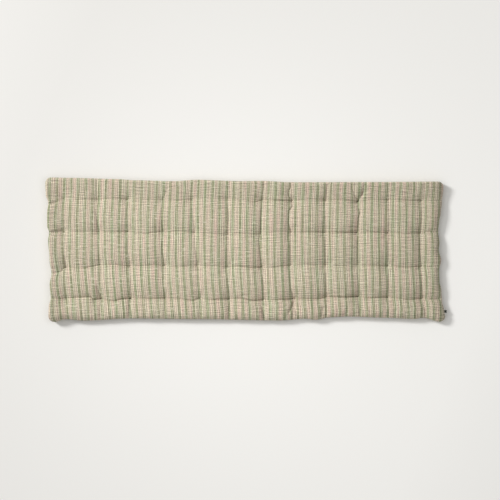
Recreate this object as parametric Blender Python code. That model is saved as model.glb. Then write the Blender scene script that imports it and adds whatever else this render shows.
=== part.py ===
"""Sofa topper: a long filled pad of striped cloth, tufted through in four rows of twelve.

It lies on its back. X runs along the length, Y from the front edge to the back edge and Z up. The
origin is the middle of the bounding box, on the surface that the pad rests on.
"""
import bmesh
import bpy
import numpy as np
from mathutils import Matrix, Vector

NAME = "sofa_topper"

# Driving sizes of the pad, in metres
LENGTH = 1.830
DEPTH = 0.665
CROWN = 0.047              # top of the fullest bays in the middle
LEFT_RIM = 0.013           # how much higher the face stands at the left side
BACK_RIM = 0.011           # and at the back side
RIGHT_DROP = 0.006         # how much lower it lies at the right side
LEFT_RIM_BAYS = 2.0        # bays over which the left rim falls away
RIGHT_DROP_BAYS = 1.6
SEAM_HEIGHT = 0.021        # where the face panel meets the back panel
CORNER = 0.030             # rounding of the four corners, seen from above

# Edge roll of each side: how far in it takes to reach full height, and its fullness, where 2 is
# a quarter circle
LEFT_ROLL = (0.020, 2.2)
RIGHT_ROLL = (0.045, 1.6)
FRONT_ROLL = (0.042, 1.8)
BACK_ROLL = (0.018, 2.2)

# Tuft rows, front to back: distance from the middle of the depth
TUFT_ROWS = (-0.2226, -0.0744, 0.0790, 0.2277)

# Tuft columns, left to right. x is at the back row, lean is the drift by the front row,
# and the last four are each tuft's own shift along Y, from the front row to the back row.
#    x,      lean,   front,  second, third,  back
TUFT_COLUMNS = (
    (-0.832, 0.011, 0.000, -0.005, 0.003, 0.005),
    (-0.678, 0.015, 0.000, 0.005, 0.003, 0.003),
    (-0.540, 0.016, 0.001, -0.001, 0.004, 0.003),
    (-0.380, 0.011, 0.001, 0.001, 0.003, 0.000),
    (-0.246, 0.035, 0.001, 0.000, 0.000, 0.001),
    (-0.083, 0.008, -0.002, -0.004, -0.011, 0.003),
    (0.074, 0.006, -0.007, -0.005, -0.006, -0.001),
    (0.212, 0.004, 0.000, 0.002, 0.000, -0.004),
    (0.360, 0.007, 0.007, 0.003, 0.001, -0.001),
    (0.512, 0.003, 0.009, 0.005, 0.001, -0.008),
    (0.650, 0.001, 0.005, 0.001, -0.002, -0.001),
    (0.802, 0.004, -0.001, -0.004, -0.002, -0.004),
)

# How far each side is drawn in from the full rectangle, at places along it
#    x, inset
FRONT_EDGE = (
    (-0.885, 0.000), (-0.820, 0.013), (-0.745, 0.006), (-0.530, 0.016), (-0.230, 0.013),
    (0.160, 0.007), (0.265, 0.015), (0.320, 0.010), (0.380, 0.021), (0.470, 0.025),
    (0.620, 0.020), (0.770, 0.014), (0.812, 0.019), (0.890, 0.001),
)
BACK_EDGE = (
    (-0.895, 0.001), (-0.800, 0.003), (-0.600, 0.008), (-0.500, 0.014), (-0.330, 0.018),
    (-0.220, 0.012), (-0.020, 0.018), (0.070, 0.017), (0.210, 0.023), (0.600, 0.022),
    (0.890, 0.020),
)
#    y, inset
LEFT_EDGE = (
    (-0.313, 0.014), (-0.262, 0.016), (-0.217, 0.024), (-0.157, 0.020), (-0.109, 0.028),
    (-0.042, 0.019), (0.045, 0.013), (0.077, 0.017), (0.110, 0.008), (0.164, 0.008),
    (0.215, 0.012), (0.251, 0.002), (0.300, 0.000),
)
RIGHT_EDGE = (
    (-0.313, 0.001), (-0.281, 0.006), (-0.235, 0.016), (-0.189, 0.019), (-0.139, 0.028),
    (-0.093, 0.029), (-0.047, 0.020), (0.000, 0.031), (0.031, 0.028), (0.086, 0.034),
    (0.132, 0.029), (0.164, 0.022), (0.215, 0.017), (0.297, 0.010),
)

# Depth of the valleys that the tufting pulls into the face, in millimetres: along each row of
# tufts, front to back, in every bay from left to right
ROW_VALLEYS = (
    (3.0, 14.0, 15.0, 19.0, 11.0, 9.5, 16.0, 12.0, 19.0, 16.0, 16.0, 16.0, 14.0),
    (8.0, 10.0, 14.0, 16.0, 15.0, 12.0, 9.5, 12.0, 13.5, 9.5, 10.0, 12.5, 5.0),
    (4.5, 11.0, 12.0, 10.0, 12.0, 8.0, 8.5, 7.0, 11.0, 13.5, 11.0, 6.5, 12.0),
    (2.5, 6.0, 4.0, 5.5, 5.5, 6.5, 5.0, 5.0, 8.0, 6.0, 6.0, 5.0, 6.5),
)
# Along each column of tufts, left to right, in every bay from front to back
COLUMN_VALLEYS = (
    (2.0, 2.0, 2.0, 2.0, 1.0),
    (4.5, 3.0, 4.5, 4.0, 4.0),
    (4.0, 7.0, 6.5, 5.5, 2.0),
    (3.0, 6.0, 6.0, 3.0, 2.0),
    (3.0, 5.0, 6.5, 5.0, 2.0),
    (9.5, 7.0, 8.0, 9.0, 2.0),
    (6.0, 7.5, 12.0, 9.0, 3.5),
    (8.0, 10.0, 11.5, 10.0, 3.0),
    (7.0, 10.0, 10.0, 9.0, 1.5),
    (8.5, 9.5, 13.0, 10.0, 1.5),
    (5.0, 8.0, 9.0, 4.5, 2.0),
    (9.0, 9.0, 14.0, 7.0, 2.0),
)
MILLIMETRE = 0.001
ROW_FULLNESS = 2.2         # 2 is a plain round roll between rows, more is fuller
COLUMN_FULLNESS = 2.1
STEEP_SIDE = 4.0           # how soon the outer bays fill out, beyond the first tufts: front, right
PLAIN_SIDE = 1.0           # back, left
TUFT_DIMPLE = 0.008        # at the tuft, besides its two valleys
TUFT_DIMPLE_WIDTH = 0.018
DEEPEST = 0.040            # valleys and dimples together level off towards this
UNDER_PULL = 0.025         # how far the deepest tufts would lift the underside
UNDER_SLACK = 0.0008       # shallower marks than this are pressed flat on the resting face

TINY = 1e-9                # keeps a share of nothing from dividing by nothing

# Grid lines inside a bay, as shares of it, from one tuft to the next
BAY_LINES = (0.0, 0.07, 0.22, 0.50, 0.78, 0.93)
# Grid lines of an outer bay, from the edge to the first tuft
EDGE_LINES = (0.0, 0.030, 0.075, 0.14, 0.25, 0.42, 0.65, 0.88)

# Side tab: folded tape caught in the seam of the right side
TAB_PLACE = -0.283         # along Y
TAB_WIDTH = 0.011
TAB_REACH = 0.008
TAB_THICKNESS = 0.0016
TAB_FOLD = 0.0007          # rounding of the folded end
TAB_GAP = 0.0004           # clear of the pad's own edge
TAB_SEAM_POINTS = 14       # places where the seam under the tab is measured


def eased(table, places):
    """Values of a two-column table at the given places, each span eased in and out."""
    stations, values = (np.array(column) for column in zip(*table))
    k = np.clip(np.searchsorted(stations, places) - 1, 0, len(stations) - 2)
    t = np.clip((places - stations[k]) / (stations[k + 1] - stations[k]), 0.0, 1.0)
    t = t * t * (3.0 - 2.0 * t)
    return values[k] + (values[k + 1] - values[k]) * t


def grid_lines(bays):
    """Lattice coordinates of all grid lines over a run of bays: whole numbers are the tufts,
    0 and `bays` are the two edges."""
    lines = list(EDGE_LINES)
    for bay in range(1, bays - 1):
        lines += [bay + share for share in BAY_LINES]
    lines += [bays - share for share in reversed(EDGE_LINES)]
    return np.array(lines)


COLUMN_LINES = grid_lines(len(TUFT_COLUMNS) + 1)
ROW_LINES = grid_lines(len(TUFT_ROWS) + 1)


def blend(table, column, row):
    """Values of a table at fractional places, in straight lines along its rows and columns."""
    table = np.array(table)
    i = np.clip(column.astype(int), 0, table.shape[1] - 2)
    j = np.clip(row.astype(int), 0, table.shape[0] - 2)
    s, t = np.clip(column - i, 0, 1), np.clip(row - j, 0, 1)
    near = table[j, i] * (1 - s) + table[j, i + 1] * s
    far = table[j + 1, i] * (1 - s) + table[j + 1, i + 1] * s
    return near * (1 - t) + far * t


def lattice():
    """Plan positions of the tufts and of the straight outer edges, row by row from the front."""
    columns = np.array(TUFT_COLUMNS)
    x_back, lean, shifts = columns[:, 0], columns[:, 1], columns[:, 2:].T
    rows = np.array(TUFT_ROWS)[:, None]
    down = (TUFT_ROWS[-1] - rows) / (TUFT_ROWS[-1] - TUFT_ROWS[0])
    x = x_back + lean * down
    y = rows + shifts
    x = np.pad(x, ((1, 1), (0, 0)), mode="edge")
    y = np.vstack([np.full_like(y[:1], -DEPTH / 2), y, np.full_like(y[:1], DEPTH / 2)])
    x = np.pad(x, ((0, 0), (1, 1)), constant_values=((0, 0), (-LENGTH / 2, LENGTH / 2)))
    y = np.pad(y, ((0, 0), (1, 1)), mode="edge")
    return x, y


def plan(u, v):
    """Where the lattice point (u, v) lies seen from above, with the sides drawn in and the
    corners rounded, and its distances from the nearest short and long side."""
    lattice_x, lattice_y = lattice()
    x, y = blend(lattice_x, u, v), blend(lattice_y, u, v)
    last_u, last_v = lattice_x.shape[1] - 1, lattice_x.shape[0] - 1
    pull_x = (eased(LEFT_EDGE, y) * np.clip(1 - u, 0, 1)
              - eased(RIGHT_EDGE, y) * np.clip(u - last_u + 1, 0, 1))
    pull_y = (eased(FRONT_EDGE, x) * np.clip(1 - v, 0, 1)
              - eased(BACK_EDGE, x) * np.clip(v - last_v + 1, 0, 1))
    inset_x = LENGTH / 2 - np.abs(x)
    inset_y = DEPTH / 2 - np.abs(y)

    # Corners: a square of side CORNER is bent to a quarter disc
    a = np.clip(1 - inset_x / CORNER, 0, 1)
    b = np.clip(1 - inset_y / CORNER, 0, 1)
    x = x - np.sign(x) * CORNER * a * (1 - np.sqrt(1 - b * b / 2))
    y = y - np.sign(y) * CORNER * b * (1 - np.sqrt(1 - a * a / 2))
    return x + pull_x, y + pull_y, inset_x, inset_y


def edge_roll(u, v, inset_x, inset_y):
    """Rise from the seam, 0, to the full height, 1, over the width of each side's edge roll."""
    left, front = u < len(TUFT_COLUMNS) / 2, v < len(TUFT_ROWS) / 2
    width_x, power_x = (np.where(left, *pair) for pair in zip(LEFT_ROLL, RIGHT_ROLL))
    width_y, power_y = (np.where(front, *pair) for pair in zip(FRONT_ROLL, BACK_ROLL))
    a = np.clip(1 - inset_x / width_x, 0, 1)
    b = np.clip(1 - inset_y / width_y, 0, 1)
    out = np.clip(np.sqrt(a * a + b * b - a * a * b * b), 0, 1)
    share = (a * a + TINY) / (a * a + b * b + 2 * TINY)
    power = power_x * share + power_y * (1 - share)
    return (1 - out ** power) ** (1 / power)


def valley(place, tufts, fullness, first_power, last_power):
    """1 on the tuft lines, falling to 0 in the middle of a bay, or out at the edges."""
    inner = np.abs(2 * (place % 1) - 1) ** fullness
    first = np.clip(place, 0, 1) ** first_power
    last = np.clip(tufts + 1 - place, 0, 1) ** last_power
    return np.where(place < 1, first, np.where(place > tufts, last, inner))


def tufting(u, v, x, y):
    """Depth below the crown: a valley along each row and each column of tufts, and a dimple
    where each tuft pulls the two faces together."""
    rows, columns = len(TUFT_ROWS), len(TUFT_COLUMNS)
    tuft_x, tuft_y, _, _ = plan(np.clip(np.round(u), 1, columns), np.clip(np.round(v), 1, rows))
    from_tuft = np.hypot(x - tuft_x, y - tuft_y)
    row_depth = blend(ROW_VALLEYS, u - 0.5, v - 1) * MILLIMETRE
    column_depth = blend(np.transpose(COLUMN_VALLEYS), u - 1, v - 0.5) * MILLIMETRE
    depth = row_depth * valley(v, rows, ROW_FULLNESS, STEEP_SIDE, PLAIN_SIDE)
    depth += column_depth * valley(u, columns, COLUMN_FULLNESS, PLAIN_SIDE, STEEP_SIDE)
    depth += TUFT_DIMPLE * np.exp(-from_tuft / TUFT_DIMPLE_WIDTH)
    return DEEPEST * np.tanh(depth / DEEPEST)


def crown(u, v):
    """Height of the face without its tufting: higher at two sides and lower at a third."""
    left = LEFT_RIM * np.clip(1 - u / LEFT_RIM_BAYS, 0, 1) ** 2
    back = BACK_RIM * np.clip(v - len(TUFT_ROWS), 0, 1)
    right = np.clip((u - len(TUFT_COLUMNS) - 1) / RIGHT_DROP_BAYS + 1, 0, 1)
    return CROWN + np.maximum(left, back) - RIGHT_DROP * right


def panel(upper):
    """One panel of the pad as a bent grid: the face panel, or the back panel it rests on."""
    columns, rows = len(COLUMN_LINES) - 1, len(ROW_LINES) - 1
    bm = bmesh.new()
    bmesh.ops.create_grid(bm, x_segments=columns, y_segments=rows, size=0.5)
    flat = np.array([vertex.co[:2] for vertex in bm.verts]) + 0.5
    u = COLUMN_LINES[np.rint(flat[:, 0] * columns).astype(int)]
    v = ROW_LINES[np.rint(flat[:, 1] * rows).astype(int)]
    x, y, inset_x, inset_y = plan(u, v)
    roll = edge_roll(u, v, inset_x, inset_y)
    depth = tufting(u, v, x, y)
    if upper:
        z = SEAM_HEIGHT + (crown(u, v) - SEAM_HEIGHT - depth) * roll
    else:
        pulled = np.clip(UNDER_PULL * (depth / DEEPEST) ** 2 - UNDER_SLACK, 0, None)
        z = SEAM_HEIGHT * (1 - roll) + pulled * roll
        bmesh.ops.reverse_faces(bm, faces=bm.faces)
    for vertex, point in zip(bm.verts, zip(x, y, z)):
        vertex.co = point
    return bm


def cloth_material(name, colour, roughness):
    material = bpy.data.materials.new(name)
    material.use_nodes = True
    shader = material.node_tree.nodes["Principled BSDF"]
    shader.inputs["Base Color"].default_value = (*colour, 1.0)
    shader.inputs["Roughness"].default_value = roughness
    shader.inputs["Metallic"].default_value = 0.0
    return material


def add_object(name, bm, collection, material):
    mesh = bpy.data.meshes.new(name)
    bm.to_mesh(mesh)
    bm.free()
    mesh.shade_smooth()
    mesh.materials.append(material)
    thing = bpy.data.objects.new(name, mesh)
    collection.objects.link(thing)
    return thing


def make_pad(collection):
    """Face and back panels, sewn together along the seam."""
    bm = panel(upper=True)
    back = panel(upper=False)
    held = bpy.data.meshes.new("back_panel")
    back.to_mesh(held)
    back.free()
    bm.from_mesh(held)
    bpy.data.meshes.remove(held)
    bmesh.ops.remove_doubles(bm, verts=bm.verts, dist=1e-6)
    cloth = cloth_material("striped_cloth", (0.48, 0.43, 0.32), 0.9)
    return add_object("topper_pad", bm, collection, cloth)


def seam_point(place):
    """The right side's seam at a place along Y, on the straight runs between grid lines."""
    right = np.full_like(ROW_LINES, len(TUFT_COLUMNS) + 1)
    x, y, _, _ = plan(right, ROW_LINES)
    return Vector((np.interp(place, y, x), place, SEAM_HEIGHT))


def make_tab(collection):
    """Short folded tape, its fold outward, standing square to the seam where it is sewn in."""
    sewn = [seam_point(y) for y in
            np.linspace(TAB_PLACE - TAB_WIDTH / 2, TAB_PLACE + TAB_WIDTH / 2, TAB_SEAM_POINTS)]
    along = (sewn[-1] - sewn[0]).normalized()
    outward = Vector((along.y, -along.x, 0.0))
    root = seam_point(TAB_PLACE)
    proud = max((point - root).dot(outward) for point in sewn)

    bm = bmesh.new()
    bmesh.ops.create_cube(bm, size=1.0)
    bmesh.ops.scale(bm, vec=(TAB_REACH, TAB_WIDTH, TAB_THICKNESS), verts=bm.verts)
    fold = [edge for edge in bm.edges
            if all(vertex.co.x > 0 for vertex in edge.verts)
            and abs(edge.verts[0].co.y - edge.verts[1].co.y) > TAB_WIDTH / 2]
    bmesh.ops.bevel(bm, geom=fold, offset=TAB_FOLD, segments=3, affect="EDGES", profile=0.5)
    turn = Matrix((outward, along, (0.0, 0.0, 1.0))).transposed().to_4x4()
    seat = root + outward * (proud + TAB_GAP + TAB_REACH / 2)
    bmesh.ops.transform(bm, matrix=Matrix.Translation(seat) @ turn, verts=bm.verts)
    tape = cloth_material("dark_tape", (0.045, 0.060, 0.040), 0.85)
    return add_object("side_tab", bm, collection, tape)


def centre_on_origin(things):
    """Move the finished pieces together, so that their box is centred and stands on Z = 0."""
    corners = np.array([vertex.co for thing in things for vertex in thing.data.vertices])
    low, high = corners.min(axis=0), corners.max(axis=0)
    middle = Vector(((low[0] + high[0]) / 2, (low[1] + high[1]) / 2, low[2]))
    for thing in things:
        thing.data.transform(Matrix.Translation(-middle))


def main():
    for thing in list(bpy.data.objects):
        bpy.data.objects.remove(thing, do_unlink=True)
    collection = bpy.data.collections.new(NAME)
    bpy.context.scene.collection.children.link(collection)
    pieces = [make_pad(collection), make_tab(collection)]
    centre_on_origin(pieces)


main()
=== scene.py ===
import bpy
import numpy as np
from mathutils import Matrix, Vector


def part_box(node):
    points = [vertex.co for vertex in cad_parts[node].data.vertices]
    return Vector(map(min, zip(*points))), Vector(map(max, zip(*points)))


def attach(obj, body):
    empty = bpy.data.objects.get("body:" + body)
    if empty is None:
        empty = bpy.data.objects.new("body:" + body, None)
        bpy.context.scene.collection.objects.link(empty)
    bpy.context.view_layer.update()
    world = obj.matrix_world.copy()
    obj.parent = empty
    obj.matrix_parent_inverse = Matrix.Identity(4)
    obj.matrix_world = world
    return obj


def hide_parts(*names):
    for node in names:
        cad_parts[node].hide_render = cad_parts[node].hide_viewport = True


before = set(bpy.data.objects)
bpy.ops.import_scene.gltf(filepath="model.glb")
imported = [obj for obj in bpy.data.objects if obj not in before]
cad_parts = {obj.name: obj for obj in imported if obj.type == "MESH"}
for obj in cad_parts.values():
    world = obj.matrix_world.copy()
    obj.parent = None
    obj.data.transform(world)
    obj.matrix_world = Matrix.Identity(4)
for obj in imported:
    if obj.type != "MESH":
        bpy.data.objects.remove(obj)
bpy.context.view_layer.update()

bpy.context.scene.view_settings.view_transform = "Standard"
print("frame loaded")


# All in metres. Heights are above the surface that the pad lies on. A roll is the width over
# which an edge rises from the seam, and the power of its curve
pad = dict(
    length=1.830, depth=0.665, corner=0.030, crown=0.0470, seamHeight=0.021,
    leftRim=0.0130, backRim=0.0110, rightDrop=0.0060,
    leftRoll=(0.014, 2.2), rightRoll=(0.045, 1.6), frontRoll=(0.042, 1.8), backRoll=(0.014, 2.2),
    rowFullness=2.2, columnFullness=2.1, openSide=4.0, deepest=0.040,
    dimple=0.011, dimpleWidth=0.017, underPull=0.0250, underSlack=0.0008,
    linesInBay=32, evenLines=0.2, lumps=0.0007, gathers=0.0024, seamGroove=0.0020,
)

# Rows of tufts, front to back: distance from the middle of the depth
tuftRows = np.array([-0.2226, -0.0744, 0.0790, 0.2277])

# Columns of tufts, left to right: x at the back row, drift by the front row,
# then each tuft's own shift along Y, from the front row to the back row
tuftColumns = np.array([
    [-0.832, 0.011, 0.000, -0.005, 0.003, 0.005],
    [-0.678, 0.015, 0.000, 0.005, 0.003, 0.003],
    [-0.540, 0.016, 0.001, -0.001, 0.004, 0.003],
    [-0.380, 0.011, 0.001, 0.001, 0.003, 0.000],
    [-0.246, 0.035, 0.001, 0.000, 0.000, 0.001],
    [-0.083, 0.008, -0.002, -0.004, -0.011, 0.003],
    [0.074, 0.006, -0.007, -0.005, -0.006, -0.001],
    [0.212, 0.004, 0.000, 0.002, 0.000, -0.004],
    [0.360, 0.007, 0.007, 0.003, 0.001, -0.001],
    [0.512, 0.003, 0.009, 0.005, 0.001, -0.008],
    [0.650, 0.001, 0.005, 0.001, -0.002, -0.001],
    [0.802, 0.004, -0.001, -0.004, -0.002, -0.004],
])

# Depth of the valleys in millimetres: along each row of tufts, front to back, in every bay from
# left to right, and along each column of tufts, left to right, in every bay from front to back
rowDepths = 0.001 * np.array([
    [3.0, 14.0, 15.0, 19.0, 11.0, 9.5, 16.0, 12.0, 19.0, 16.0, 16.0, 16.0, 14.0],
    [8.0, 10.0, 14.0, 16.0, 15.0, 12.0, 9.5, 12.0, 13.5, 9.5, 10.0, 12.5, 5.0],
    [4.5, 11.0, 12.0, 10.0, 12.0, 8.0, 8.5, 7.0, 11.0, 13.5, 11.0, 6.5, 12.0],
    [2.5, 6.0, 4.0, 5.5, 5.5, 6.5, 5.0, 5.0, 8.0, 6.0, 6.0, 5.0, 6.5],
])
columnDepths = 0.001 * np.array([
    [2.0, 2.0, 2.0, 2.0, 1.0],
    [4.5, 3.0, 4.5, 4.0, 4.0],
    [4.0, 7.0, 6.5, 5.5, 2.0],
    [3.0, 6.0, 6.0, 3.0, 2.0],
    [3.0, 5.0, 6.5, 5.0, 2.0],
    [9.5, 7.0, 8.0, 9.0, 2.0],
    [6.0, 7.5, 12.0, 9.0, 3.5],
    [8.0, 10.0, 11.5, 10.0, 3.0],
    [7.0, 10.0, 10.0, 9.0, 1.5],
    [8.5, 9.5, 13.0, 10.0, 1.5],
    [5.0, 8.0, 9.0, 4.5, 2.0],
    [9.0, 9.0, 14.0, 7.0, 2.0],
])

# How the rows bow away from straight lines between tufts: place along X, shift along Y
rowBows = [
    np.array([
        [-0.821, 0.000], [-0.767, 0.006], [-0.708, 0.009], [-0.694, -0.005], [-0.663, 0.000],
        [-0.634, -0.009], [-0.602, -0.013], [-0.570, -0.004], [-0.524, 0.000], [-0.446, -0.003],
        [-0.368, 0.000], [-0.299, -0.004], [-0.240, -0.010], [-0.210, 0.000], [-0.162, -0.005],
        [-0.074, 0.000], [-0.024, 0.004], [0.031, -0.004], [0.080, 0.000], [0.201, -0.003],
        [0.217, 0.000], [0.256, -0.004], [0.330, -0.008], [0.368, 0.000], [0.458, -0.002],
        [0.515, 0.000], [0.554, -0.005], [0.651, 0.000], [0.738, -0.007], [0.806, 0.000],
    ]),
    np.array([
        [-0.915, -0.030], [-0.882, -0.028], [-0.850, -0.020], [-0.824, 0.000], [-0.767, -0.009],
        [-0.740, -0.012], [-0.697, -0.005], [-0.668, 0.000], [-0.600, 0.003], [-0.529, 0.000],
        [-0.400, 0.003], [-0.376, 0.000], [-0.300, -0.006], [-0.250, 0.001], [-0.226, 0.000],
        [-0.150, 0.003], [-0.084, 0.000], [-0.030, 0.003], [0.030, -0.002], [0.072, 0.000],
        [0.110, -0.006], [0.165, -0.001], [0.206, 0.000], [0.290, 0.004], [0.364, 0.000],
        [0.440, -0.003], [0.511, 0.000], [0.630, -0.001], [0.649, 0.000], [0.730, -0.004],
        [0.801, 0.000], [0.860, 0.002],
    ]),
    np.array([
        [-0.915, -0.010], [-0.885, -0.009], [-0.858, -0.002], [-0.827, 0.000], [-0.730, 0.000],
        [-0.672, 0.000], [-0.607, -0.003], [-0.540, 0.000], [-0.483, -0.007], [-0.451, -0.010],
        [-0.414, -0.003], [-0.380, 0.000], [-0.300, 0.002], [-0.251, 0.000], [-0.180, -0.002],
        [-0.084, 0.000], [-0.030, 0.005], [0.040, -0.002], [0.067, 0.000], [0.150, 0.004],
        [0.208, 0.000], [0.359, 0.000], [0.440, -0.001], [0.512, 0.000], [0.600, 0.001],
        [0.649, 0.000], [0.740, -0.003], [0.802, 0.000], [0.860, 0.005],
    ]),
    np.array([
        [-0.915, -0.012], [-0.873, -0.011], [-0.832, 0.000], [-0.760, -0.003], [-0.678, 0.000],
        [-0.600, 0.003], [-0.540, 0.000], [-0.460, -0.003], [-0.380, 0.000], [-0.310, -0.004],
        [-0.246, 0.000], [-0.170, 0.004], [-0.083, 0.000], [0.000, -0.003], [0.040, -0.011],
        [0.074, 0.000], [0.150, 0.000], [0.212, 0.000], [0.290, 0.004], [0.360, 0.000],
        [0.440, 0.003], [0.512, 0.000], [0.580, 0.004], [0.650, 0.000], [0.802, 0.000],
    ]),
]

# The same for the columns that leave their line: number, then place along Y, shift along X
columnBows = {
    3: np.array([[-0.300, 0.003], [-0.260, -0.003], [-0.222, 0.000], [-0.150, 0.004],
                 [-0.075, 0.000], [0.000, -0.004], [0.083, -0.004], [0.150, -0.001],
                 [0.231, 0.000]]),
    4: np.array([[-0.300, -0.004], [-0.222, 0.000], [-0.150, -0.004], [-0.073, 0.000],
                 [0.010, -0.006], [0.082, -0.003], [0.150, -0.006], [0.228, 0.000],
                 [0.255, 0.014], [0.300, 0.024]]),
    6: np.array([[-0.300, -0.003], [-0.225, 0.000], [-0.074, -0.006], [0.068, -0.003],
                 [0.150, 0.003], [0.231, 0.000], [0.300, 0.005]]),
    7: np.array([[-0.300, 0.002], [-0.229, 0.000], [-0.166, 0.001], [-0.079, -0.006],
                 [-0.056, -0.009], [0.045, -0.016], [0.074, -0.010], [0.123, -0.007],
                 [0.227, 0.000], [0.313, 0.008]]),
    8: np.array([[-0.300, -0.003], [-0.223, 0.000], [-0.166, -0.011], [-0.072, -0.011],
                 [0.035, -0.010], [0.079, -0.008], [0.123, -0.018], [0.176, -0.014],
                 [0.201, 0.001], [0.224, 0.000], [0.256, -0.017], [0.279, -0.017],
                 [0.302, -0.006]]),
    10: np.array([[-0.300, 0.004], [-0.214, 0.000], [-0.070, -0.004], [0.080, -0.003],
                  [0.146, 0.002], [0.169, 0.009], [0.192, 0.001], [0.220, 0.000],
                  [0.258, -0.016], [0.297, -0.030]]),
    12: np.array([[-0.300, 0.012], [-0.224, 0.000], [-0.150, -0.003], [-0.079, -0.004],
                  [0.000, -0.008], [0.077, -0.006], [0.150, 0.000], [0.224, 0.000],
                  [0.290, 0.006]]),
}

# How far each side is drawn in from the full rectangle: place along the side, inset
frontEdge = np.array([
    [-0.885, 0.000], [-0.820, 0.013], [-0.745, 0.006], [-0.530, 0.016], [-0.230, 0.013],
    [0.160, 0.007], [0.265, 0.015], [0.320, 0.010], [0.380, 0.021], [0.470, 0.025],
    [0.620, 0.020], [0.770, 0.014], [0.812, 0.019], [0.890, 0.001],
])
backEdge = np.array([
    [-0.895, 0.001], [-0.800, 0.003], [-0.600, 0.008], [-0.500, 0.014], [-0.330, 0.018],
    [-0.220, 0.012], [-0.020, 0.018], [0.070, 0.017], [0.210, 0.023], [0.600, 0.022],
    [0.890, 0.020],
])
leftEdge = np.array([
    [-0.313, 0.014], [-0.262, 0.016], [-0.217, 0.024], [-0.157, 0.020], [-0.109, 0.028],
    [-0.042, 0.019], [0.045, 0.013], [0.077, 0.017], [0.110, 0.008], [0.164, 0.008],
    [0.215, 0.012], [0.251, 0.002], [0.300, 0.000],
])
rightEdge = np.array([
    [-0.313, 0.001], [-0.281, 0.006], [-0.235, 0.016], [-0.189, 0.019], [-0.139, 0.028],
    [-0.093, 0.029], [-0.047, 0.020], [0.000, 0.031], [0.031, 0.028], [0.086, 0.034],
    [0.132, 0.029], [0.164, 0.022], [0.215, 0.017], [0.297, 0.010],
])

# How sharply the cloth is creased from tuft to tuft, 0 to 1: each row from the left edge to
# the right edge, and each column from the front edge to the back edge
rowCreases = np.array([
    [0.1, 0.9, 0.9, 0.6, 0.7, 1.0, 1.0, 0.9, 0.7, 1.4, 0.8, 0.5, 0.3],
    [0.2, 0.4, 0.5, 0.4, 0.2, 0.3, 1.0, 0.5, 0.2, 0.2, 0.6, 0.6, 0.5],
    [0.4, 0.2, 0.5, 0.5, 0.4, 0.2, 0.4, 0.2, 0.7, 1.3, 0.7, 0.6, 0.5],
    [0.1, 0.3, 0.5, 0.1, 0.2, 0.1, 0.5, 1.0, 0.3, 0.7, 0.3, 0.6, 0.1],
])
columnCreases = np.array([
    [0.1, 0.2, 0.1, 0.2, 0.0],
    [0.3, 0.4, 0.4, 0.6, 0.2],
    [0.6, 0.3, 0.3, 0.3, 0.1],
    [0.2, 0.4, 0.7, 0.6, 0.2],
    [0.2, 0.2, 0.2, 0.2, 0.1],
    [0.6, 0.4, 0.4, 0.6, 0.2],
    [0.4, 0.9, 1.0, 1.0, 0.8],
    [0.7, 0.5, 0.6, 0.8, 0.7],
    [0.4, 0.6, 0.7, 0.5, 0.1],
    [0.4, 0.5, 0.7, 0.6, 0.4],
    [0.2, 0.4, 0.3, 0.2, 0.1],
    [0.5, 0.8, 0.7, 0.5, 0.1],
])

# Short folds: start X, start Y, end X, end Y, depth, width
folds = np.array([
    [-0.683, 0.178, -0.673, 0.082, 0.0040, 0.0045],
    [-0.674, -0.175, -0.663, -0.221, 0.0070, 0.0055],
    [-0.531, -0.240, -0.531, -0.308, 0.0080, 0.0055],
    [0.371, 0.285, 0.366, 0.229, 0.0070, 0.0050],
    [0.512, 0.224, 0.532, 0.258, 0.0085, 0.0055],
    [0.532, 0.258, 0.543, 0.302, 0.0085, 0.0055],
    [0.552, 0.265, 0.564, 0.284, 0.0030, 0.0040],
    [0.224, -0.226, 0.203, -0.274, 0.0085, 0.0055],
    [0.222, -0.262, 0.240, -0.312, 0.0085, 0.0055],
    [-0.049, -0.276, -0.034, -0.318, 0.0075, 0.0055],
    [0.076, -0.270, 0.083, -0.316, 0.0080, 0.0055],
    [0.185, -0.300, 0.185, -0.320, 0.0040, 0.0045],
    [0.462, -0.272, 0.458, -0.308, 0.0075, 0.0055],
    [0.351, -0.272, 0.345, -0.314, 0.0060, 0.0055],
    [0.678, -0.282, 0.680, -0.308, 0.0060, 0.0055],
    [-0.900, 0.075, -0.848, 0.086, 0.0085, 0.0055],
    [-0.823, -0.041, -0.820, -0.080, 0.0050, 0.0045],
    [-0.900, 0.206, -0.868, 0.213, 0.0075, 0.0055],
    [-0.891, -0.217, -0.841, -0.226, 0.0055, 0.0055],
    [-0.015, -0.209, 0.016, -0.209, 0.0035, 0.0045],
])
crease = dict(
    rowDepth=0.0105, rowWidth=0.0024, columnDepth=0.0078, columnWidth=0.0028,
    gentle=2.6, least=0.35,
)


# Values of a two-column table at any places, each span eased in and out (3t^2 - 2t^3)
def eased(table, places):
    k = np.clip(np.searchsorted(table[:, 0], places) - 1, 0, len(table) - 2)
    t = np.clip((places - table[k, 0]) / (table[k + 1, 0] - table[k, 0]), 0, 1)
    return table[k, 1] + (table[k + 1, 1] - table[k, 1]) * t * t * (3 - 2 * t)


# Smooth random field, about -1 to 1: random values on square lattices of the given cell, blended
# with the same easing, and the sum of three such lattices turned by 0.5, 1.5 and 2.5 radians
def swell(x, y, cell, seed):
    draws = np.random.default_rng(seed)
    total = 0
    for turn in (0.5, 1.5, 2.5):
        values = draws.uniform(-1, 1, (512, 512))
        i = (x * np.cos(turn) - y * np.sin(turn)) / cell + 97.3
        j = (x * np.sin(turn) + y * np.cos(turn)) / cell + 61.7
        i0, j0 = np.floor(i).astype(int), np.floor(j).astype(int)
        s, t = i - i0, j - j0
        s, t = s * s * (3 - 2 * s), t * t * (3 - 2 * t)
        at = lambda a, b: values[(i0 + a) % 512, (j0 + b) % 512]
        total = total + ((at(0, 0) * (1 - s) + at(1, 0) * s) * (1 - t)
                         + (at(0, 1) * (1 - s) + at(1, 1) * s) * t)
    return total * 0.65


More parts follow.
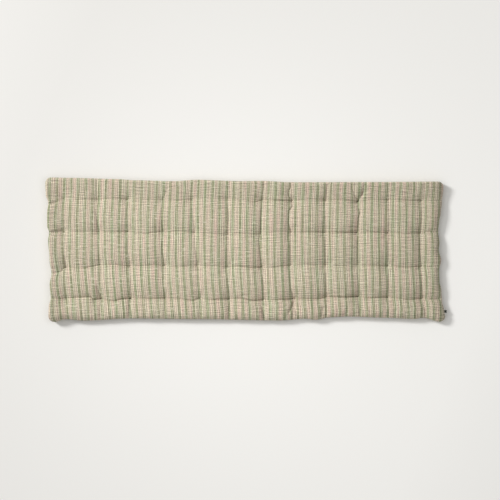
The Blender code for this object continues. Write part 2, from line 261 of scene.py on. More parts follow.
# Puts arrays of points, faces and face-corner cloth places into a new object
def makeObject(name, points, faces, corners=None):
    mesh = bpy.data.meshes.new(name)
    mesh.from_pydata(points.tolist(), [], faces)
    if corners is not None:
        layer = mesh.uv_layers.new(name="cloth")
        layer.data.foreach_set("uv", corners.astype(np.float32).ravel())
    mesh.shade_smooth()
    thing = bpy.data.objects.new(name, mesh)
    bpy.context.scene.collection.objects.link(thing)
    return thing


# A number from a node, so that shader maths reads as a plain expression
class Number:
    def __init__(self, finish, socket):
        self.finish, self.socket = finish, socket

    def __add__(self, other):
        return self.finish.math("ADD", self, other)

    def __sub__(self, other):
        return self.finish.math("SUBTRACT", self, other)

    def __rsub__(self, other):
        return self.finish.math("SUBTRACT", other, self)

    def __mul__(self, other):
        return self.finish.math("MULTIPLY", self, other)

    def __truediv__(self, other):
        return self.finish.math("DIVIDE", self, other)

    __radd__, __rmul__ = __add__, __mul__


# One material, its Principled shader and the nodes that feed it
class Finish:
    def __init__(self, name, fixed):
        self.material = bpy.data.materials.new(name)
        self.material.use_nodes = True
        self.tree = self.material.node_tree
        self.shader = self.tree.nodes["Principled BSDF"]
        for socket, value in fixed.items():
            self.shader.inputs[socket].default_value = value

    # Any node: its settings go in first, then the values or links of its sockets
    def node(self, kind, settings, sockets):
        made = self.tree.nodes.new("ShaderNode" + kind)
        for key, value in settings.items():
            setattr(made, key, value)
        for key, value in sockets.items():
            self.feed(made.inputs[key], value)
        return made

    def feed(self, target, value):
        if isinstance(value, Number):
            value = value.socket
        if isinstance(value, bpy.types.NodeSocket):
            self.tree.links.new(value, target)
        else:
            target.default_value = value

    def math(self, operation, *values):
        made = self.node("Math", {"operation": operation}, dict(enumerate(values)))
        return Number(self, made.outputs[0])

    def clamp(self, value):
        made = self.node("Clamp", {}, {"Value": value})
        return Number(self, made.outputs[0])

    # 0 up to a place on either side of the middle, rising to 1 over the given run
    def beyond(self, value, place, run):
        return self.clamp((self.math("ABSOLUTE", value) - place) / run)

    def mix(self, share, first, second, blend="MIX"):
        made = self.node("Mix", {"data_type": "RGBA", "blend_type": blend},
                         {0: share, 6: first, 7: second})
        return made.outputs[2]

    # Brightness noise on stretched cloth places: the two counts are waves in a metre
    def noise(self, along, across, perMetreAlong, perMetreAcross, detail=2.0, seed=0.0):
        place = self.node("CombineXYZ", {}, {0: along * perMetreAlong,
                                             1: across * perMetreAcross, 2: seed})
        made = self.node("TexNoise", {"noise_dimensions": "3D"},
                         {"Vector": place.outputs[0], "Scale": 1.0, "Detail": detail})
        return Number(self, made.outputs["Fac"])

    def ramp(self, value, stops):
        made = self.node("ValToRGB", {}, {"Fac": value})
        elements = made.color_ramp.elements
        while len(elements) < len(stops):
            elements.new(0.5)
        for element, (place, colour) in zip(elements, stops):
            element.position, element.color = place, (*colour, 1)
        return made.outputs["Color"]

    def clothPlaces(self):
        place = self.node("UVMap", {"uv_map": "cloth"}, {})
        parts = self.node("SeparateXYZ", {}, {0: place.outputs[0]})
        return Number(self, parts.outputs[0]), Number(self, parts.outputs[1])


# Linear colour from the everyday 0 to 255 one: ((c/255 + 0.055) / 1.055)^2.4
def shade(red, green, blue):
    c = np.array([red, green, blue]) / 255
    return tuple(np.where(c <= 0.04045, c / 12.92, ((c + 0.055) / 1.055) ** 2.4).tolist())


# Lattice coordinates of the grid lines over a run of bays: whole numbers are the tufts, 0 and
# the last one the two edges. Lines crowd towards the tufts and the edges: a share of the
# spacing is even and the rest follows a cosine
def gridLines(bays, lines):
    t = np.arange(lines) / lines
    share = pad["evenLines"] * t + (1 - pad["evenLines"]) * (1 - np.cos(np.pi * t)) / 2
    return np.append((np.arange(bays)[:, None] + share).ravel(), bays)


# Plan place of each tuft and of the straight outer edges, rows from front to back
def tuftLattice():
    down = (tuftRows[-1] - tuftRows[:, None]) / (tuftRows[-1] - tuftRows[0])
    x = tuftColumns[:, 0] + tuftColumns[:, 1] * down
    y = tuftRows[:, None] + tuftColumns[:, 2:].T
    x = np.pad(x, ((1, 1), (0, 0)), mode="edge")
    halfDepth, halfLength = pad["depth"] / 2, pad["length"] / 2
    y = np.pad(y, ((1, 1), (0, 0)), constant_values=((-halfDepth, halfDepth), (0, 0)))
    x = np.pad(x, ((0, 0), (1, 1)), constant_values=((0, 0), (-halfLength, halfLength)))
    return x, np.pad(y, ((0, 0), (1, 1)), mode="edge")


# Values of a table at fractional places, blended in straight lines along its rows and columns
def blend(table, column, row):
    i = np.clip(column.astype(int), 0, table.shape[1] - 2)
    j = np.clip(row.astype(int), 0, table.shape[0] - 2)
    s, t = np.clip(column - i, 0, 1), np.clip(row - j, 0, 1)
    return ((table[j, i] * (1 - s) + table[j, i + 1] * s) * (1 - t)
            + (table[j + 1, i] * (1 - s) + table[j + 1, i + 1] * s) * t)


# Where (u, v) lies seen from above: tufts blended in straight lines, their rows and columns
# bowed by the tables with a weight of (1 - distance)^2, the sides drawn in by their tables,
# and each corner square bent to a quarter disc
def padPlan(u, v):
    latticeX, latticeY = tuftLattice()
    x, y = blend(latticeX, u, v), blend(latticeY, u, v)
    near = lambda place, line: np.clip(1 - np.abs(place - line), 0, 1) ** 2
    bowX = sum(eased(table, y) * near(u, line) for line, table in columnBows.items())
    bowY = sum(eased(table, x) * near(v, line + 1) for line, table in enumerate(rowBows))
    insetX, insetY = pad["length"] / 2 - np.abs(x), pad["depth"] / 2 - np.abs(y)
    x, y = x + bowX, y + bowY
    lastU, lastV = latticeX.shape[1] - 1, latticeX.shape[0] - 1
    pullX = (eased(leftEdge, y) * np.clip(1 - u, 0, 1)
             - eased(rightEdge, y) * np.clip(u - lastU + 1, 0, 1))
    pullY = (eased(frontEdge, x) * np.clip(1 - v, 0, 1)
             - eased(backEdge, x) * np.clip(v - lastV + 1, 0, 1))
    a = np.clip(1 - insetX / pad["corner"], 0, 1)
    b = np.clip(1 - insetY / pad["corner"], 0, 1)
    x = x - np.sign(x) * pad["corner"] * a * (1 - np.sqrt(1 - b * b / 2))
    y = y - np.sign(y) * pad["corner"] * b * (1 - np.sqrt(1 - a * a / 2))
    return x + pullX, y + pullY, insetX, insetY


# Rise of the edge from the seam, 0, to the full height, 1: (1 - out^p)^(1/p), where out is 1
# at the seam and 0 a roll's width in, joined round the corners. Each side has its own width
# and power, and p goes over from one side's to the other's round a corner
def edgeRoll(u, v, insetX, insetY):
    sideOf = lambda place, middle, first, last: [
        np.where(place < middle, pad[first][k], pad[last][k]) for k in (0, 1)]
    rollX, powerX = sideOf(u, len(tuftColumns) / 2, "leftRoll", "rightRoll")
    rollY, powerY = sideOf(v, len(tuftRows) / 2, "frontRoll", "backRoll")
    a = np.clip(1 - insetX / rollX, 0, 1)
    b = np.clip(1 - insetY / rollY, 0, 1)
    out = np.clip(np.sqrt(a * a + b * b - a * a * b * b), 0, 1)
    p = (powerX * a * a + powerY * b * b + 1e-9) / (a * a + b * b + 5e-10)
    return (1 - out ** p) ** (1 / p), out, a, b


# Across the tuft lines: 1 on a line, |2t - 1|^fullness inside a bay, and (1 - t)^power out to
# the first and the last edge, with a power for each
def valley(place, tufts, fullness, powers):
    inner = np.abs(2 * (place % 1) - 1) ** fullness
    first = np.clip(place, 0, 1) ** powers[0]
    last = np.clip(tufts + 1 - place, 0, 1) ** powers[1]
    return np.where(place < 1, first, np.where(place > tufts, last, inner))


# Sharp furrows along all tuft lines: sharpness * exp(-distance / width), where distance is
# measured to the grid line of that row or column, and the cloth runs in more gently from the
# front and the right. Each span fades from its right tuft, or from its front one, as
# least + (1 - least) * near^2
def tuftFurrows(u, v, x, y):
    lines = pad["linesInBay"]
    fading = lambda near: crease["least"] + (1 - crease["least"]) * near ** 2
    pick = lambda spans, place: spans[np.clip(place.astype(int), 0, len(spans) - 1)]
    depth = np.zeros_like(x)
    for j, spans in enumerate(rowCreases):
        sharp = crease["rowDepth"] * pick(spans, u) * fading(u % 1)
        away = y - y[(j + 1) * lines]
        away = np.maximum(away, -away / crease["gentle"]) / crease["rowWidth"]
        depth = np.maximum(depth, sharp * np.exp(-away))
    for i, spans in enumerate(columnCreases):
        sharp = crease["columnDepth"] * pick(spans, v) * fading(1 - v % 1)
        away = x[:, [(i + 1) * lines]] - x
        away = np.maximum(away, -away / crease["gentle"]) / crease["columnWidth"]
        depth = np.maximum(depth, sharp * np.exp(-away))
    return depth


# Short folds placed as listed: depth * exp(-(distance / width)^1.3) beside a straight line between two
# points, fading past its ends
def shortFolds(x, y):
    depth = np.zeros_like(x)
    for startX, startY, endX, endY, deep, width in folds:
        run = np.array([endX - startX, endY - startY])
        length = np.hypot(*run)
        run = run / length
        along = (x - startX) * run[0] + (y - startY) * run[1]
        across = (y - startY) * run[0] - (x - startX) * run[1]
        past = np.maximum(np.maximum(-along, along - length), 0)
        depth += deep * np.exp(-(np.abs(across) / width) ** 1.3 - (past / (0.35 * length)) ** 2)
    return depth


# Depth below the crown: a round valley along each row and column and a dimple at each tuft,
# levelled off by deepest * tanh(sum / deepest), then the creases, the unevenness of the
# filling and the gathers at the seam
def padDepth(u, v, x, y, insetX, insetY, seed, fine=1.0):
    columns, rows = len(tuftColumns), len(tuftRows)
    tuftX, tuftY, *_ = padPlan(np.clip(np.round(u), 1, columns), np.clip(np.round(v), 1, rows))
    rowDepth, columnDepth = blend(rowDepths, u - 0.5, v - 1), blend(columnDepths.T, u - 1, v - 0.5)
    depth = (rowDepth * valley(v, rows, pad["rowFullness"], (pad["openSide"], 1))
             + columnDepth * valley(u, columns, pad["columnFullness"], (1, pad["openSide"])))
    depth += pad["dimple"] * np.exp(-np.hypot(x - tuftX, y - tuftY) / pad["dimpleWidth"])
    depth = pad["deepest"] * np.tanh(depth / pad["deepest"])
    depth += pad["lumps"] * (swell(x, y, 0.060, seed) + 0.6 * swell(x, y, 0.026, seed + 1))
    if fine:
        depth += tuftFurrows(u, v, x, y) + shortFolds(x, y)
        depth += pad["gathers"] * (np.exp(-insetY / 0.026) * swell(x, 0.2 * y, 0.012, seed + 2)
                                   + np.exp(-insetX / 0.026) * swell(0.2 * x, y, 0.012, seed + 3))
    return depth


# How the crown varies: it rises to a rim at the left side, as (1 - u/2)^2, and at the back side, in
# a straight line, and drops in a straight line at the right side
def crownRise(u, v):
    columns, rows = len(tuftColumns), len(tuftRows)
    rim = np.maximum(pad["leftRim"] * np.clip(1 - u / 2, 0, 1) ** 2,
                     pad["backRim"] * np.clip(v - rows, 0, 1))
    return rim - pad["rightDrop"] * np.clip((u - columns + 0.6) / 1.6, 0, 1)


# Cloth places along one axis of a grid of points: the plan place plus the extra cloth that the
# slopes have taken up so far, shared so that every line across takes up the same in each bay
def clothRun(points, axis, bays):
    plan = points[..., 1 - axis] if axis == 1 else points[..., 1].T
    steps = np.linalg.norm(np.diff(points, axis=axis), axis=2)
    extra = (steps if axis == 1 else steps.T) - np.abs(np.diff(plan))
    extra = extra.reshape(-1, bays, pad["linesInBay"])
    total = extra.sum(2, keepdims=True)
    shared = total.mean(0, keepdims=True)
    taken = np.cumsum(extra, 2) / (total + 1e-9) * shared + np.cumsum(shared, 1) - shared
    run = plan + np.pad(taken.reshape(len(taken), -1), ((0, 0), (1, 0))) - shared.sum() / 2
    return run if axis == 1 else run.T


# How far the stripes swing to the right, in metres, each with its place in bays: from the front edge
# to the back edge, and towards the right end, where they swing back to the left
swingInDepth = np.array([[0.0, 0.024], [2.5, 0.000], [3.0, 0.000], [5.0, 0.010]])
swingAtEnd = np.array([[10.5, 0.000], [13.0, -0.016]])

# The striped cloth, in metres: its stripes and yarns, the share of the swing in depth that is lost by
# the right end, where the back panel is cut from it, and the painted shade: how much darker the colour
# is painted in the hollows and towards the ends, the front and the back
cloth = dict(
    repeat=0.0330, firstGreen=0.0085, wander=0.009, yarnStep=0.0032, weftStep=0.0048,
    swingLost=0.7,
    threadGap=0.0015, relief=0.0006, backPlace=[3.013, 2.0],
    fading=0.55, paleYarns=0.45, slubs=0.65, tint=0.48, light=0.986,
    hollowHeight=0.024, paintedHollowShade=0.08, shadeRun=0.06,
    endPlace=0.83, paintedEndShade=0.070, sidePlace=0.20, paintedSideShade=0.020,
    pleatPlace=0.25, pleatRun=0.05, pleats=40,
)

# Colours from the middle of a green stripe, 0, to halfway to the next one, 1
stripeColours = [
    (0.00, (137, 142, 108)), (0.16, (150, 150, 119)), (0.26, (129, 135, 100)),
    (0.36, (162, 159, 130)), (0.45, (203, 196, 174)), (0.52, (197, 186, 165)),
    (0.62, (190, 174, 154)), (0.72, (173, 150, 132)), (0.82, (193, 176, 156)),
    (1.00, (205, 189, 168)),
]


# Cloth pushed up by the filling: a coarse closed skin of the pad, held at the tufts, the seam and
# the underside, a little longer than it has room for
filling = dict(
    linesInBay=12, pressure=4.0, spareCloth=0.02, frames=20, cap=0.006, share=[0.1, 0.1, 0.35],
)


# How far the cloth moves under the pressure of the filling, at every point of the fine grid:
# simulated on the coarse skin, capped, and spread between its lines by a Catmull-Rom curve
def pushFromFilling(u, v):
    bays = len(tuftColumns) + 1, len(tuftRows) + 1
    lines = filling["linesInBay"]
    coarseU, coarseV = np.meshgrid(gridLines(bays[0], lines), gridLines(bays[1], lines))
    face, back = padSkin(coarseU, coarseV, fine=0)
    number = np.arange(coarseU.size).reshape(coarseU.shape)
    under = number.copy()
    under[1:-1, 1:-1] = coarseU.size + np.arange(face[1:-1, 1:-1, 0].size).reshape(
        face[1:-1, 1:-1, 0].shape)
    quads = lambda grid: np.stack([grid[:-1, :-1], grid[:-1, 1:], grid[1:, 1:], grid[1:, :-1]], -1)
    faces = np.vstack([quads(number).reshape(-1, 4), quads(under).reshape(-1, 4)[:, ::-1]])
    start = np.vstack([face.reshape(-1, 3), back[1:-1, 1:-1].reshape(-1, 3)])
    skin = makeObject("filling_skin", start, faces.tolist())
    held = skin.vertex_groups.new(name="held")
    edge = np.concatenate([number[0], number[-1], number[:, 0], number[:, -1]])
    held.add([int(k) for k in np.concatenate(
        [edge, number[lines:-1:lines, lines:-1:lines].ravel(), under[1:-1, 1:-1].ravel()])],
        1.0, "REPLACE")
    pushed = skin.modifiers.new("cloth", "CLOTH")
    pushed.settings.vertex_group_mass = "held"
    pushed.settings.use_pressure = True
    pushed.settings.uniform_pressure_force = filling["pressure"]
    pushed.settings.shrink_min = -filling["spareCloth"]
    pushed.settings.effector_weights.gravity = 0
    pushed.point_cache.frame_end = filling["frames"]
    for moment in range(1, filling["frames"] + 1):
        bpy.context.scene.frame_set(moment)
    seen = skin.evaluated_get(bpy.context.evaluated_depsgraph_get())
    end = np.empty(len(start) * 3, np.float32)
    seen.data.vertices.foreach_get("co", end)
    bpy.data.objects.remove(skin)
    bpy.context.scene.frame_set(1)
    moved = (end.reshape(-1, 3) - start)[:coarseU.size]
    print("filling pushed the cloth")
    moved *= np.minimum(1, filling["cap"] / (np.linalg.norm(moved, axis=1, keepdims=True) + 1e-9))
    return spread(moved.reshape(*coarseU.shape, 3), coarseU[0], coarseV[:, 0], u[0], v[:, 0])


# Values of a coarse grid at the lines of a fine one, first along one axis and then the other:
# four neighbours weighted by the Catmull-Rom polynomials
def spread(values, fromU, fromV, toU, toV):
    for axis, (old, new) in enumerate(((fromV, toV), (fromU, toU))):
        place = np.interp(new, old, np.arange(len(old)))
        k = np.clip(place.astype(int), 0, len(old) - 2)
        t = (place - k).reshape([-1 if side == axis else 1 for side in range(3)])
        near = [np.take(values, np.clip(k + step, 0, len(old) - 1), axis=axis) for step in (-1, 0, 1, 2)]
        values = 0.5 * (near[0] * (-t + 2 * t * t - t ** 3) + near[1] * (2 - 5 * t * t + 3 * t ** 3)
                        + near[2] * (t + 4 * t * t - 3 * t ** 3) + near[3] * (t ** 3 - t * t))
    return values


# Points of the face panel and the back panel on a grid
def padSkin(u, v, fine):
    x, y, insetX, insetY = padPlan(u, v)
    roll, out, outX, outY = edgeRoll(u, v, insetX, insetY)
    top = pad["crown"] + crownRise(u, v) - padDepth(u, v, x, y, insetX, insetY, 5, fine)
    top = pad["seamHeight"] + (top - pad["seamHeight"]) * roll
    share = padDepth(u, v, x, y, insetX, insetY, 9, fine=0) / pad["deepest"]
    pulled = np.clip(pad["underPull"] * share * np.abs(share) - pad["underSlack"], 0, None)
    under = pad["seamHeight"] * (1 - roll) + pulled * roll
    groove = pad["seamGroove"] * np.clip((out - 0.86) / 0.14, 0, 1) ** 2
    outward = np.hypot(outX, outY) + 1e-9
    x = x - np.sign(x) * groove * outX / outward
    y = y - np.sign(y) * groove * outY / outward
    low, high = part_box("topper_pad")
    x = x + (low.x + high.x) / 2 - (x.min() + x.max()) / 2
    y = y + (low.y + high.y) / 2 - (y.min() + y.max()) / 2
    return np.stack([x, y, top], -1), np.stack([x, y, under], -1)


# The filled pad: face panel and back panel as one closed skin that meets at the seam. The
# back panel has every second line of the face panel, and both have the seam's points
def makePad():
    bays = len(tuftColumns) + 1, len(tuftRows) + 1
    u, v = np.meshgrid(*(gridLines(count, pad["linesInBay"]) for count in bays))
    face, back = padSkin(u, v, fine=1)
    face = face + filling["share"] * pushFromFilling(u, v)

    number = np.arange(u.size).reshape(u.shape)
    coarse = number[::2, ::2].copy()
    inner = back[2:-2:2, 2:-2:2]
    coarse[1:-1, 1:-1] = u.size + np.arange(inner.shape[0] * inner.shape[1]).reshape(inner.shape[:2])
    middleX = np.full((coarse.shape[0], coarse.shape[1] - 1), -1)
    middleY = np.full((coarse.shape[0] - 1, coarse.shape[1]), -1)
    middleX[[0, -1]] = number[[0, -1], 1::2]
    middleY[:, [0, -1]] = number[1::2][:, [0, -1]]
    rings = np.stack([coarse[:-1, :-1], middleX[:-1], coarse[:-1, 1:], middleY[:, 1:],
                      coarse[1:, 1:], middleX[1:], coarse[1:, :-1], middleY[:, :-1]], -1).reshape(-1, 8)
    count = (rings >= 0).sum(1)
    quads = np.stack([number[:-1, :-1], number[:-1, 1:], number[1:, 1:], number[1:, :-1]], -1)
    faces = quads.reshape(-1, 4).tolist()
    backFaces = []
    for sides in (4, 5, 6):
        chosen = rings[count == sides]
        backFaces += chosen[chosen >= 0].reshape(-1, sides)[:, ::-1].tolist()

    swing = eased(swingInDepth, v) * (1 - cloth["swingLost"] * u / bays[0]) + eased(swingAtEnd, u)
    clothFace = np.stack([clothRun(face, 1, bays[0]) - swing, clothRun(face, 0, bays[1])], -1)
    clothBack = np.stack([clothRun(back, 1, bays[0]), clothRun(back, 0, bays[1])], -1)
    clothBack += cloth["backPlace"]
    ofBack = np.vstack([clothBack.reshape(-1, 2), clothBack[2:-2:2, 2:-2:2].reshape(-1, 2)])
    corners = np.vstack([clothFace.reshape(-1, 2)[np.concatenate(faces)],
                         ofBack[np.concatenate(backFaces)]])
    points = np.vstack([face.reshape(-1, 3), inner.reshape(-1, 3)])
    atTufts = (slice(pad["linesInBay"], -1, pad["linesInBay"]),) * 2
    cover = makeObject("pad_cover", points, faces + backFaces, corners)
    return cover, face[atTufts], back[atTufts]


# Woven cloth: green and rose stripes on cream along the warp, slubs along the weft, and painted shade in
# the hollows and towards the ends, the front and the back
def stripedCloth():
    finish = Finish("striped_cloth", {"Roughness": 0.92, "Sheen Weight": 0.15,
                                      "Sheen Roughness": 0.5})
    along, across = finish.clothPlaces()
    noise = lambda alongCount, acrossCount, **rest: finish.noise(
        along, across, alongCount, acrossCount, **rest)
    wander = (noise(6, 2.5, seed=3.0) - 0.5) * cloth["wander"]
    phase = finish.math("FRACT", (along + wander - cloth["firstGreen"]) / cloth["repeat"] + 0.5)
    fromGreen = finish.math("ABSOLUTE", phase - 0.5) * 2
    colour = finish.ramp(fromGreen, [(place, shade(*mixed)) for place, mixed in stripeColours])
    faded = finish.clamp((noise(150, 5, detail=3.0, seed=41.0) - 0.47) * 4)
    colour = finish.mix(faded * cloth["fading"], colour, (*shade(187, 178, 154), 1))

    # Warp and weft yarns: the same noise twice, one a little way along, so that only edges show
    yarns = (noise(300, 5, detail=1.0, seed=8.0)
             - finish.noise(along + cloth["yarnStep"], across, 300, 5, detail=1.0, seed=8.0))
    weft = (noise(15, 200, detail=1.0, seed=12.0)
            - finish.noise(along, across + cloth["weftStep"], 15, 200, detail=1.0, seed=12.0))
    pale = finish.clamp(yarns * 3.0)
    colour = finish.mix(pale * cloth["paleYarns"], colour, (*shade(214, 208, 184), 1))
    grain = noise(290, 290, detail=1.0, seed=17.0) - 0.5

    places = finish.node("TexCoord", {}, {}).outputs["Object"]
    parts = finish.node("SeparateXYZ", {}, {0: places})
    x, y, z = (Number(finish, part) for part in parts.outputs)
    # Painted shade: the colour is darker near the seam's height, which takes in the valleys, the tufts,
    # the edges and the underside, and darker towards the ends, the front and the back
    paintedShadeInHollows = finish.clamp(
        (cloth["hollowHeight"] - finish.math("ABSOLUTE", z - pad["seamHeight"])) / cloth["hollowHeight"])
    light = (cloth["light"] - paintedShadeInHollows * cloth["paintedHollowShade"]
             - finish.beyond(x, cloth["endPlace"], cloth["shadeRun"]) * cloth["paintedEndShade"]
             - finish.beyond(y, cloth["sidePlace"], cloth["shadeRun"]) * cloth["paintedSideShade"]
             + yarns * 0.9 + weft * 0.75 + grain * 1.5)
    tint = (noise(90, 5, seed=23.0) - 0.5) * cloth["tint"]
    tinted = finish.node("CombineXYZ", {}, {0: light * (1 + tint * 0.7), 1: light * (1 - tint * 0.3),
                                            2: light * (1 + tint * 0.2)})
    colour = finish.mix(1.0, colour, tinted.outputs[0], "MULTIPLY")
    slub = finish.clamp((noise(30, 210, detail=1.0, seed=31.0) - 0.61) * 9)
    colour = finish.mix(slub * cloth["slubs"], colour, (*shade(216, 208, 187), 1))
    finish.feed(finish.shader.inputs["Base Color"], colour)

    wave = 2 * np.pi / cloth["threadGap"]
    weave = (finish.math("SINE", along * wave) * finish.math("SINE", across * wave)) * 0.5
    pleats = noise(60, 9, detail=1.0, seed=51.0) * finish.clamp(
        (-cloth["pleatPlace"] - y) / cloth["pleatRun"])
    height = weave + yarns * 1.5 + weft * 1.5 + pleats * cloth["pleats"]
    bump = finish.node("Bump", {}, {"Strength": 0.35, "Distance": cloth["relief"], "Height": height})
    finish.feed(finish.shader.inputs["Normal"], bump.outputs[0])
    return finish.material


# Tufting thread: each tuft is drawn down by one stitch of two strands, on both panels
thread = dict(radius=0.0009, half=0.0036, rise=0.0010, apart=0.0009, sides=6, steps=9)


# All strands as one mesh: each a round tube along half an ellipse, x = -half cos(pi t) and
# z = rise sin(pi t), tapered at both ends where it goes into the cloth, and turned a little
def makeThreads(tufts, tuftsUnder):
    t = np.linspace(0, 1, thread["steps"])
    angle = np.arange(thread["sides"]) * 2 * np.pi / thread["sides"]
    width = thread["radius"] * np.sqrt(np.sin(np.pi * (0.03 + 0.94 * t)))
    run = -thread["half"] * np.cos(np.pi * t)[:, None] + 0 * angle
    side = width[:, None] * np.cos(angle)
    lift = (thread["rise"] * np.sin(np.pi * t) - 0.0004)[:, None] + width[:, None] * np.sin(angle)
    strand = np.stack([run, side, lift], -1).reshape(-1, 3)
    number = np.arange(len(strand)).reshape(thread["steps"], thread["sides"])
    turned = np.roll(number, -1, 1)
    quads = np.stack([number[:-1], turned[:-1], turned[1:], number[1:]], -1).reshape(-1, 4)
    draws = np.random.default_rng(41)
    points, faces = [], []
    for panel, up in ((tufts, 1), (tuftsUnder, -1)):
        for tuft in panel.reshape(-1, 3):
            turn = 0.25 * draws.uniform(-1, 1)
            for beside in (-thread["apart"], thread["apart"]):
                x = strand[:, 0] * np.cos(turn) - (strand[:, 1] + beside) * np.sin(turn)
                y = strand[:, 0] * np.sin(turn) + (strand[:, 1] + beside) * np.cos(turn)
                first = len(points) * len(strand)
                points.append(tuft + np.stack([x, y, up * strand[:, 2]], -1))
                order = quads if up > 0 else quads[:, ::-1]
                ends = [number[0][::-1], number[-1]] if up > 0 else [number[0], number[-1][::-1]]
                faces += (order + first).tolist() + [(end + first).tolist() for end in ends]
    return makeObject("tuft_threads", np.vstack(points), faces)


# Thread: olive cotton with the ridges of its twist
def twistedThread():
    cotton = Finish("tufting_thread", {"Roughness": 0.75, "Sheen Weight": 0.2})
    places = cotton.node("TexCoord", {}, {})
    parts = cotton.node("SeparateXYZ", {}, {0: places.outputs["Object"]})
    x, y = Number(cotton, parts.outputs[0]), Number(cotton, parts.outputs[1])
    twist = cotton.math("SINE", (x + y * 1.4) * (2 * np.pi / 0.0011)) * 0.5 + 0.5
    colour = cotton.mix(twist, (*shade(92, 84, 58), 1), (*shade(126, 117, 86), 1))
    cotton.feed(cotton.shader.inputs["Base Color"], colour)
    bump = cotton.node("Bump", {}, {"Strength": 0.5, "Distance": 0.0003, "Height": twist})
    cotton.feed(cotton.shader.inputs["Normal"], bump.outputs[0])
    return cotton.material


# Side tab: a short piece of dark woven tape, folded in half and sewn into the seam
tab = dict(sheet=0.0006, sewnIn=0.0020, ribs=0.0009, ribHeight=0.00006, ribCount=7)


# The folded tape: its outline seen from the side, two leaves joined by a half circle, carried along the
# seam's direction, its thickness rippled into fine ribs
def makeTab():
    low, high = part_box("side_tab")
    middle, radius = (low.z + high.z) / 2, (high.z - low.z) / 2
    turn = np.linspace(np.pi / 2, -np.pi / 2, 9)
    start, bend = low.x - tab["sewnIn"], high.x - radius
    leaf = np.linspace(start, bend, 8)[:-1]
    outerX = np.concatenate([leaf, bend + radius * np.cos(turn), leaf[::-1]])
    outerZ = np.concatenate([leaf * 0 + radius, radius * np.sin(turn), leaf * 0 - radius])
    inner = radius - tab["sheet"]
    innerX = np.concatenate([leaf, bend + inner * np.cos(turn), leaf[::-1]])[::-1]
    innerZ = np.concatenate([leaf * 0 + inner, inner * np.sin(turn), leaf * 0 - inner])[::-1]
    x, z = np.concatenate([outerX, innerX]), np.concatenate([outerZ, innerZ]) + middle
    across = np.linspace(0, 1, 15)
    y = low.y + (high.y - low.y) * across
    rib = tab["ribHeight"] * np.cos(across * 2 * np.pi * tab["ribCount"])
    points = np.stack([np.tile(x, (len(y), 1)), np.tile(y[:, None], len(x)),
                       middle + (z - middle)[None, :] * (1 + rib / radius)[:, None]], -1)
    number = np.arange(points.shape[0] * points.shape[1]).reshape(points.shape[:2])
    turned = np.roll(number, -1, 1)
    quads = np.stack([number[:-1], number[1:], turned[1:], turned[:-1]], -1).reshape(-1, 4)
    half = len(outerX)
    strip = np.arange(half - 1)
    cap = np.stack([strip, strip + 1, 2 * half - 2 - strip, 2 * half - 1 - strip], -1)
    caps = np.vstack([number[0][cap], number[-1][cap][:, ::-1]])
    return makeObject("side_tape", points.reshape(-1, 3), np.vstack([quads, caps]).tolist())


# Tape: near-black green with fine ribs across
def darkTape():
    tape = Finish("dark_tape", {"Roughness": 0.8, "Sheen Weight": 0.15})
    places = tape.node("TexCoord", {}, {})
    parts = tape.node("SeparateXYZ", {}, {0: places.outputs["Object"]})
    x, y = Number(tape, parts.outputs[0]), Number(tape, parts.outputs[1])
    rib = tape.math("SINE", x * (2 * np.pi / tab["ribs"])) * 0.5 + 0.5
    weave = tape.math("SINE", y * (2 * np.pi / 0.0007)) * 0.5 + 0.5
    colour = tape.mix(rib * 0.6 + weave * 0.4, (*shade(30, 34, 30), 1), (*shade(62, 68, 58), 1))
    tape.feed(tape.shader.inputs["Base Color"], colour)
    bump = tape.node("Bump", {}, {"Strength": 0.5, "Distance": 0.0002, "Height": rib + weave})
    tape.feed(tape.shader.inputs["Normal"], bump.outputs[0])
    return tape.material


padCover, tufts, tuftsUnder = makePad()
padCover.data.materials.append(stripedCloth())
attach(padCover, "root")
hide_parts("topper_pad")
print("pad made")

threads = makeThreads(tufts, tuftsUnder)
threads.data.materials.append(twistedThread())
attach(threads, "root")
sideTape = makeTab()
sideTape.data.materials.append(darkTape())
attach(sideTape, "root")
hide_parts("side_tab")
print("threads and tab made")
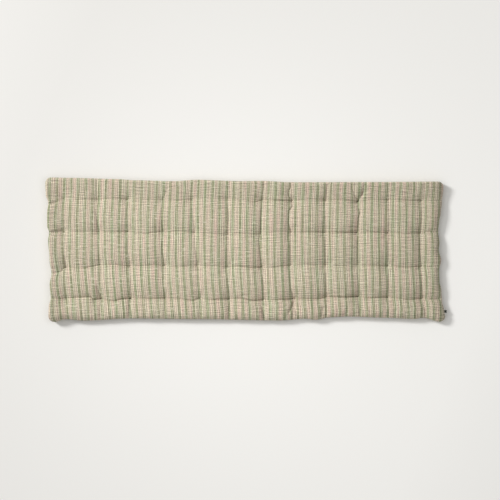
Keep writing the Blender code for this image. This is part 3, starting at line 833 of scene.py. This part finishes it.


# The floor, painted darker towards the left and the back where the key lamp is nearer, the light from
# all round and two soft lamps, and the camera's place above the pad
stage = dict(
    floorSide=9.0, floorLeftPaintedDarker=(0.730, 0.719, 0.695), floorRightPaintedLighter=(0.96, 0.95, 0.922), fill=0.490,
    fillColour=(1.0, 0.995, 0.98, 1),
    keyFrom=(-6.9, 3.75, 5.1), keySize=1.9, keyPower=740,
    topFrom=(-0.15, 0.0, 1.3), topSize=0.8, topPower=3.2,
    viewWide=2.295, viewFrom=5.2, lens=80.0, viewMiddle=(0.0175, -0.001),
)


def makeStage():
    half = stage["floorSide"] / 2
    points = np.array([[-half, -half, 0], [half, -half, 0], [half, half, 0], [-half, half, 0]])
    floor = makeObject("floor", points + [0, 0, -0.0004], [[0, 1, 2, 3]])
    ground = Finish("pale_floor", {"Roughness": 0.9, "Specular IOR Level": 0.1})
    places = ground.node("TexCoord", {}, {})
    parts = ground.node("SeparateXYZ", {}, {0: places.outputs["Object"]})
    # Painted shade: the floor's colour runs from dark at the left and the back to light at the right and
    # the front, to even out the stronger light of the key lamp on that side
    share = ground.clamp(Number(ground, parts.outputs[0]) * 0.42
                         - Number(ground, parts.outputs[1]) * 0.19 + 0.5)
    colour = ground.mix(share, (*stage["floorLeftPaintedDarker"], 1), (*stage["floorRightPaintedLighter"], 1))
    ground.feed(ground.shader.inputs["Base Color"], colour)
    floor.data.materials.append(ground.material)

    world = bpy.data.worlds.new("studio")
    bpy.context.scene.world = world
    world.use_nodes = True
    background = world.node_tree.nodes["Background"]
    background.inputs[0].default_value = stage["fillColour"]
    background.inputs[1].default_value = stage["fill"]

    key = bpy.data.objects.new("key", bpy.data.lights.new("key", "AREA"))
    key.data.size, key.data.energy = stage["keySize"], stage["keyPower"]
    key.location = stage["keyFrom"]
    key.rotation_euler = (-Vector(stage["keyFrom"])).to_track_quat("-Z", "Y").to_euler()
    bpy.context.scene.collection.objects.link(key)

    top = bpy.data.objects.new("top", bpy.data.lights.new("top", "AREA"))
    top.data.size, top.data.energy = stage["topSize"], stage["topPower"]
    top.location = stage["topFrom"]
    top.visible_camera = False
    bpy.context.scene.collection.objects.link(top)

    lens = bpy.data.cameras.new("camera")
    lens.lens = stage["lens"]
    lens.sensor_width = stage["lens"] * stage["viewWide"] / stage["viewFrom"]
    camera = bpy.data.objects.new("camera", lens)
    camera.location = (*stage["viewMiddle"], stage["viewFrom"])
    bpy.context.scene.collection.objects.link(camera)
    bpy.context.scene.camera = camera


makeStage()
print("stage set")
